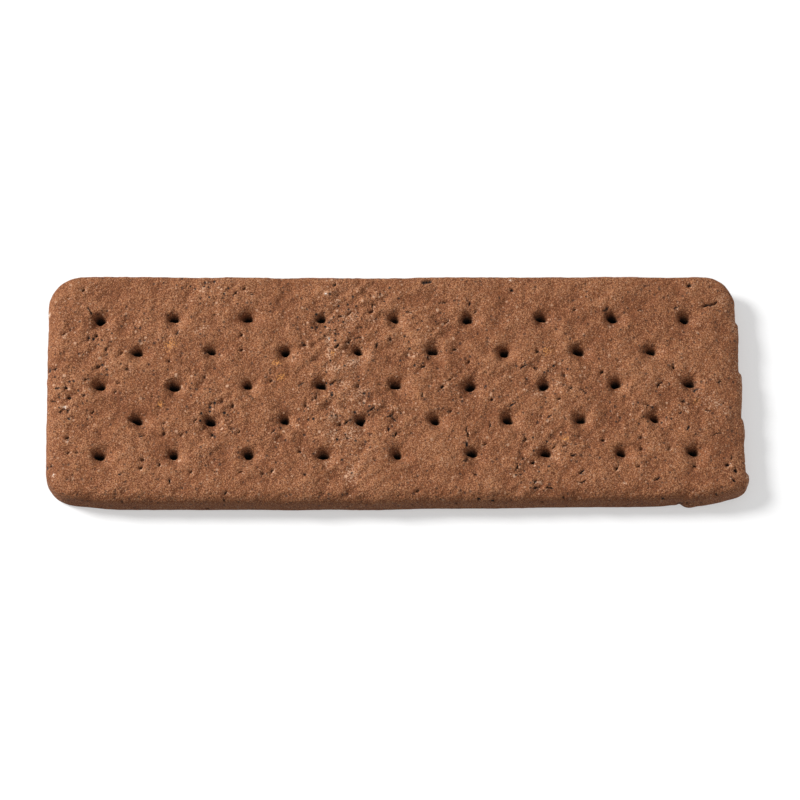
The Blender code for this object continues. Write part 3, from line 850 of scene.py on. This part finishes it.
# Colours of the baked crumb, with its painted shade and painted highlights, and how strongly each scale of
# it shows
crumbFinish = {
    "hollow": (0.145, 0.046, 0.0175, 1),
    "base": (0.234, 0.0785, 0.0282, 1),
    "crest": (0.43, 0.2, 0.097, 1),
    "dustAndHighlightColour": (0.53, 0.30, 0.185, 1),
    "white": (0.72, 0.64, 0.57, 1),
    "ochre": (0.58, 0.24, 0.07, 1),
    # near black of the painted shade in pits, hole walls, cracks, chips and tiny holes
    "pit": (0.014, 0.012, 0.012, 1),
    "warm": (1.07, 0.985, 0.81, 1),      # the crumb's grains lean from one of these tints to the other
    "cool": (0.94, 1.015, 1.17, 1),
    # noise scale per metre, detail, share of the tone
    "tones": ((110, 2, 0.26), (420, 2, 0.3), (1500, 2, 0.55)),
    # short strands of crumb: noise scale, turn, how much longer than wide, share of the tone
    "strands": ((7200, 35, 1.9, 4.0), (6200, -52, 1.8, 3.0)),
    "patches": (330, 0.65, 1.05),        # noise scale, and the strands' weakest and strongest
    "roughStrands": 0.5,     # how much stronger they are where the crumb is rough
    "ridgeTone": 0.7,        # share per millimetre of relief: crests painted lighter and hollows and creases darker, as painted light and shade
    # tiny holes, painted dark as their shade, pale flecks and larger pale grains: how many to a metre,
    # largest radius in cells, the share of the cells that has one, strength
    "pinholes": (1250, 0.42, 0.9, 0.95),
    "pinholeShare": (0.62, 1.2),          # in calm places and in rough ones
    "flecks": (1900, 0.42, 0.4, 1.35),
    "grains": (1150, 0.4, 0.2, 1.6),
    "paleShare": (0.45, 1.6),             # the same for flecks and grains
    "wander": (2500, 0.00018),           # how their outlines stray: noise scale, and how far
    # where along the tone the crumb reaches each of its three colours
    "toneSteps": {"hollow": -0.1, "base": 0.5, "crest": 1.1},
    "patchEdge": (0.35, 0.65),           # how sharply the strands' patches begin
    "leanNoise": 4200,       # noise scales of the leaning tint and of the finest grain
    "leanEdge": (0.3, 0.7),
    "fineNoise": 3500,
    "roughEdge": (0.05, 0.7),            # how sharply rough places begin
    "markGrainEdge": (0.66, 0.74),            # how sharply the grains of each painted mark begin: ochre, pale rubbing and painted highlight
    "markGrainShare": 0.25,       # how much more of them there are where the mark is strong
    "markGrainFade": (0.03, 0.12),            # no grains below the first strength of the mark
    # what is painted on, its colour, and between which strengths it comes in
    "marks": (("ochre", "ochre", 0, 1), ("dustAndHighlight", "dustAndHighlightColour", 0, 1), ("dustAndHighlight", "white", 1, 1.4)),
    "pitEdge": (0.1, 0.85),              # how sharply the painted shade of pits, hole walls, cracks and chips begins
    "pitRagged": 0.6,        # how ragged the painted shade's outline is
    "pitFade": (0.02, 0.2),              # the plain crumb stays clear of it
    "pinholeDepth": 0.0001,
    "roughness": 0.82,
    "specular": 0.3,
    "bumps": ((1700, 2, 0.0002), (4300, 2, 0.00017)),    # noise scale, detail, height in metres
    "bumpBlend": 0.55,       # how strong the bumps' finer detail is
}


def addNode(tree, kind, inputs, **settings):
    # inputs are other nodes' outputs or plain values, by socket
    node = tree.nodes.new(kind)
    for name, value in settings.items():
        setattr(node, name, value)
    for socket, value in inputs.items():
        if isinstance(value, bpy.types.NodeSocket):
            tree.links.new(value, node.inputs[socket])
        else:
            node.inputs[socket].default_value = value
    return node


def noiseFactor(tree, coords, scale, detail=2.0, roughness=0.5):
    inputs = {"Vector": coords, "Scale": scale, "Detail": detail, "Roughness": roughness}
    return addNode(tree, "ShaderNodeTexNoise", inputs).outputs["Fac"]


def calculate(tree, operation, first, second=0.0, third=0.0):
    inputs = {0: first, 1: second, 2: third}
    return addNode(tree, "ShaderNodeMath", inputs, operation=operation).outputs[0]


def remap(tree, value, low, high, newLow=0.0, newHigh=1.0):
    inputs = {"Value": value, "From Min": low, "From Max": high, "To Min": newLow, "To Max": newHigh}
    return addNode(tree, "ShaderNodeMapRange", inputs).outputs["Result"]


def mixColour(tree, factor, first, second, blend="MIX"):
    inputs = {0: factor, 6: first, 7: second}
    return addNode(tree, "ShaderNodeMix", inputs, data_type="RGBA", blend_type=blend).outputs[2]


def painted(tree, name):
    return addNode(tree, "ShaderNodeAttribute", {}, attribute_name=name).outputs["Fac"]


def strand(tree, coords, scale, turn, stretch):
    inputs = {"Vector": coords, "Rotation": (0, 0, math.radians(turn)), "Scale": (stretch, 1, 1)}
    mapping = addNode(tree, "ShaderNodeMapping", inputs, vector_type="TEXTURE")
    return noiseFactor(tree, mapping.outputs[0], scale, 1)


def bent(tree, coords, shift):
    # coordinates that stray a little, so that what is read with them has no even outline
    scale, reach = crumbFinish["wander"]
    wander = addNode(tree, "ShaderNodeTexNoise", {"Vector": coords, "Scale": scale}).outputs["Color"]
    inputs = {0: wander, 1: (reach, reach, reach), 2: coords}
    stray = addNode(tree, "ShaderNodeVectorMath", inputs, operation="MULTIPLY_ADD").outputs[0]
    inputs = {0: stray, 1: (shift, shift, 0)}
    return addNode(tree, "ShaderNodeVectorMath", inputs, operation="ADD").outputs[0]


def scattered(tree, coords, scale, largest, share, strength):
    # spots of every size up to the largest, strongest in their middles
    cells = addNode(tree, "ShaderNodeTexVoronoi", {"Vector": coords, "Scale": scale}, feature="F1")
    pick = addNode(tree, "ShaderNodeSeparateColor", {0: cells.outputs["Color"]})
    radius = remap(tree, pick.outputs[0], 1 - share, 1, 0, largest)
    inside = calculate(tree, "SUBTRACT", radius, cells.outputs["Distance"])
    return remap(tree, inside, 0, 0.5 * largest, 0, strength)


def crumbMaterial():
    material = bpy.data.materials.new("cocoaCrumb")
    material.use_nodes = True
    tree = material.node_tree
    shader = tree.nodes["Principled BSDF"]
    coords = addNode(tree, "ShaderNodeTexCoord", {}).outputs["Object"]
    finish = crumbFinish
    steps = finish["toneSteps"]
    rough = painted(tree, "rough")

    # painted light and shade: the tone rises with the relief's height, so crests are lighter and hollows
    # darker
    tone = calculate(tree, "MULTIPLY_ADD", painted(tree, "ridge"), finish["ridgeTone"], steps["base"])
    patchScale, weakest, strongest = finish["patches"]
    patch = noiseFactor(tree, coords, patchScale)
    patch = remap(tree, patch, *finish["patchEdge"], weakest, strongest)
    patch = calculate(tree, "MULTIPLY_ADD", rough, finish["roughStrands"], patch)
    for scale, detail, share in finish["tones"]:
        offset = calculate(tree, "SUBTRACT", noiseFactor(tree, coords, scale, detail), 0.5)
        tone = calculate(tree, "MULTIPLY_ADD", offset, share, tone)
    for *form, share in finish["strands"]:
        offset = calculate(tree, "SUBTRACT", strand(tree, coords, *form), 0.5)
        offset = calculate(tree, "MULTIPLY", offset, patch)
        tone = calculate(tree, "MULTIPLY_ADD", offset, share, tone)
    up = remap(tree, tone, steps["base"], steps["crest"])
    down = remap(tree, tone, steps["base"], steps["hollow"])
    colour = mixColour(tree, up, finish["base"], finish["crest"])
    colour = mixColour(tree, down, colour, finish["hollow"])
    lean = remap(tree, noiseFactor(tree, coords, finish["leanNoise"], 1), *finish["leanEdge"])
    lean = mixColour(tree, lean, finish["cool"], finish["warm"])
    colour = mixColour(tree, 1.0, colour, lean, "MULTIPLY")

    for kind, shift in (("flecks", 0.31), ("grains", 0.77)):
        pale = scattered(tree, bent(tree, coords, shift), *finish[kind])
        share = remap(tree, rough, *finish["roughEdge"], *finish["paleShare"])
        colour = mixColour(tree, calculate(tree, "MULTIPLY", pale, share), colour, finish["dustAndHighlightColour"])
    fine = noiseFactor(tree, coords, finish["fineNoise"], 1)
    # ochre, pale rubbed places with their painted highlights, and white specks
    for name, tint, low, high in finish["marks"]:
        strength = remap(tree, painted(tree, name), low, high)
        grains = calculate(tree, "MULTIPLY_ADD", strength, finish["markGrainShare"], fine)
        grains = remap(tree, grains, *finish["markGrainEdge"])
        amount = calculate(tree, "MULTIPLY", grains, remap(tree, strength, *finish["markGrainFade"]))
        colour = mixColour(tree, amount, colour, finish[tint])

    # painted shade: tiny holes are painted as dark spots, and the painted dark of pits, hole walls, cracks
    # and chips goes on top
    tiny = scattered(tree, bent(tree, coords, 0), *finish["pinholes"])
    share = remap(tree, rough, *finish["roughEdge"], *finish["pinholeShare"])
    tiny = calculate(tree, "MULTIPLY", tiny, share)
    dark = painted(tree, "paintedShade")
    ragged = calculate(tree, "MULTIPLY", calculate(tree, "SUBTRACT", fine, 0.5), finish["pitRagged"])
    ragged = calculate(tree, "MULTIPLY", ragged, remap(tree, dark, *finish["pitFade"]))
    dark = calculate(tree, "ADD", dark, ragged)
    dark = remap(tree, dark, *finish["pitEdge"])
    colour = mixColour(tree, calculate(tree, "MAXIMUM", dark, tiny), colour, finish["pit"])
    tree.links.new(colour, shader.inputs["Base Color"])
    shader.inputs["Roughness"].default_value = finish["roughness"]
    shader.inputs["Specular IOR Level"].default_value = finish["specular"]

    height = calculate(tree, "MULTIPLY", tiny, -finish["pinholeDepth"])
    for scale, detail, rise in finish["bumps"]:
        grains = noiseFactor(tree, coords, scale, detail, finish["bumpBlend"])
        height = calculate(tree, "MULTIPLY_ADD", grains, rise, height)
    bump = addNode(tree, "ShaderNodeBump", {"Strength": 1.0, "Distance": 1.0, "Height": height})
    tree.links.new(bump.outputs["Normal"], shader.inputs["Normal"])
    return material


# The studio's floor, in metres
paleFloor = {
    "reach": 2.5,
    "drop": 0.00005,         # below the base
    "grey": 0.58,
    "roughness": 0.9,
    "glow": 0.42,            # keeps its shadows pale
}


def makeFloor():
    mesh = bpy.data.meshes.new("studio_floor")
    reach, grey = paleFloor["reach"], paleFloor["grey"]
    corners = [(-reach, -reach, 0), (reach, -reach, 0), (reach, reach, 0), (-reach, reach, 0)]
    mesh.from_pydata(corners, [], [(0, 1, 2, 3)])
    floor = bpy.data.objects.new("studio_floor", mesh)
    floor.location.z = -paleFloor["drop"]
    floor.visible_diffuse = False        # its white doesn't light the biscuit's sides
    bpy.context.scene.collection.objects.link(floor)
    material = bpy.data.materials.new("paleFloor")
    material.use_nodes = True
    shader = material.node_tree.nodes["Principled BSDF"]
    shader.inputs["Base Color"].default_value = (grey, grey, grey, 1)
    shader.inputs["Roughness"].default_value = paleFloor["roughness"]
    shader.inputs["Emission Color"].default_value = (1, 1, 1, 1)
    shader.inputs["Emission Strength"].default_value = paleFloor["glow"]
    mesh.materials.append(material)


# Studio: a big soft key from the back left, a low weak one from the right, fill from the room
studio = {
    "key": {"from": (-1.15, 0.42, 0.88), "distance": 1.4, "size": 0.42, "power": 24.1},
    "edge": {"from": (1.0, 0.0, 0.04), "distance": 1.2, "size": 0.08, "power": 3.4},
    "room": (0.3, 0.48),         # brightness level with the floor and overhead
}


def lightStudio():
    for name in ("key", "edge"):
        lamp = studio[name]
        light = bpy.data.lights.new(name + "Light", "AREA")
        light.shape = "DISK"
        light.size = lamp["size"]
        light.energy = lamp["power"]
        stand = bpy.data.objects.new(name + "Light", light)
        bpy.context.scene.collection.objects.link(stand)
        direction = Vector(lamp["from"]).normalized()
        stand.location = direction * lamp["distance"]
        stand.rotation_euler = direction.to_track_quat("Z", "Y").to_euler()
    world = bpy.data.worlds.new("paleRoom")
    bpy.context.scene.world = world
    world.use_nodes = True
    tree = world.node_tree
    background = tree.nodes["Background"]
    background.inputs["Color"].default_value = (1, 1, 1, 1)
    coords = addNode(tree, "ShaderNodeTexCoord", {}).outputs["Generated"]
    upward = addNode(tree, "ShaderNodeSeparateXYZ", {0: coords}).outputs["Z"]
    strength = remap(tree, upward, 0, 1, *studio["room"])
    tree.links.new(strength, background.inputs["Strength"])
    bpy.context.scene.view_settings.view_transform = "Standard"


# Camera: angles in degrees, distances in metres, read from the staggered holes
view = {
    "elevation": 66.56,
    "turn": -8.07,
    "roll": 7.21,
    "distance": 0.5778,
    "aim": (0.000683, -0.000364, -0.000125),
    "focalPixels": 3335.9,
    "frame": 800,
    "sensor": 36.0,
}


def makeCamera():
    lens = bpy.data.cameras.new("camera")
    lens.sensor_width = view["sensor"]
    lens.lens = view["focalPixels"] / view["frame"] * view["sensor"]
    camera = bpy.data.objects.new("camera", lens)
    bpy.context.scene.collection.objects.link(camera)
    turnedBy = Matrix.Rotation(math.radians(view["turn"]), 4, "Z")
    tippedBy = Matrix.Rotation(math.radians(90 - view["elevation"]), 4, "X")
    rolledBy = Matrix.Rotation(math.radians(view["roll"]), 4, "Z")
    back = Matrix.Translation((0, 0, view["distance"]))
    camera.matrix_world = Matrix.Translation(view["aim"]) @ turnedBy @ tippedBy @ rolledBy @ back
    bpy.context.scene.camera = camera


makeCamera()
lightStudio()
makeFloor()
print("studio ready")
biscuit = makeBiscuit()
biscuit.data.materials.append(crumbMaterial())
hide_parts("biscuit")
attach(biscuit, "root")
print("biscuit finished")
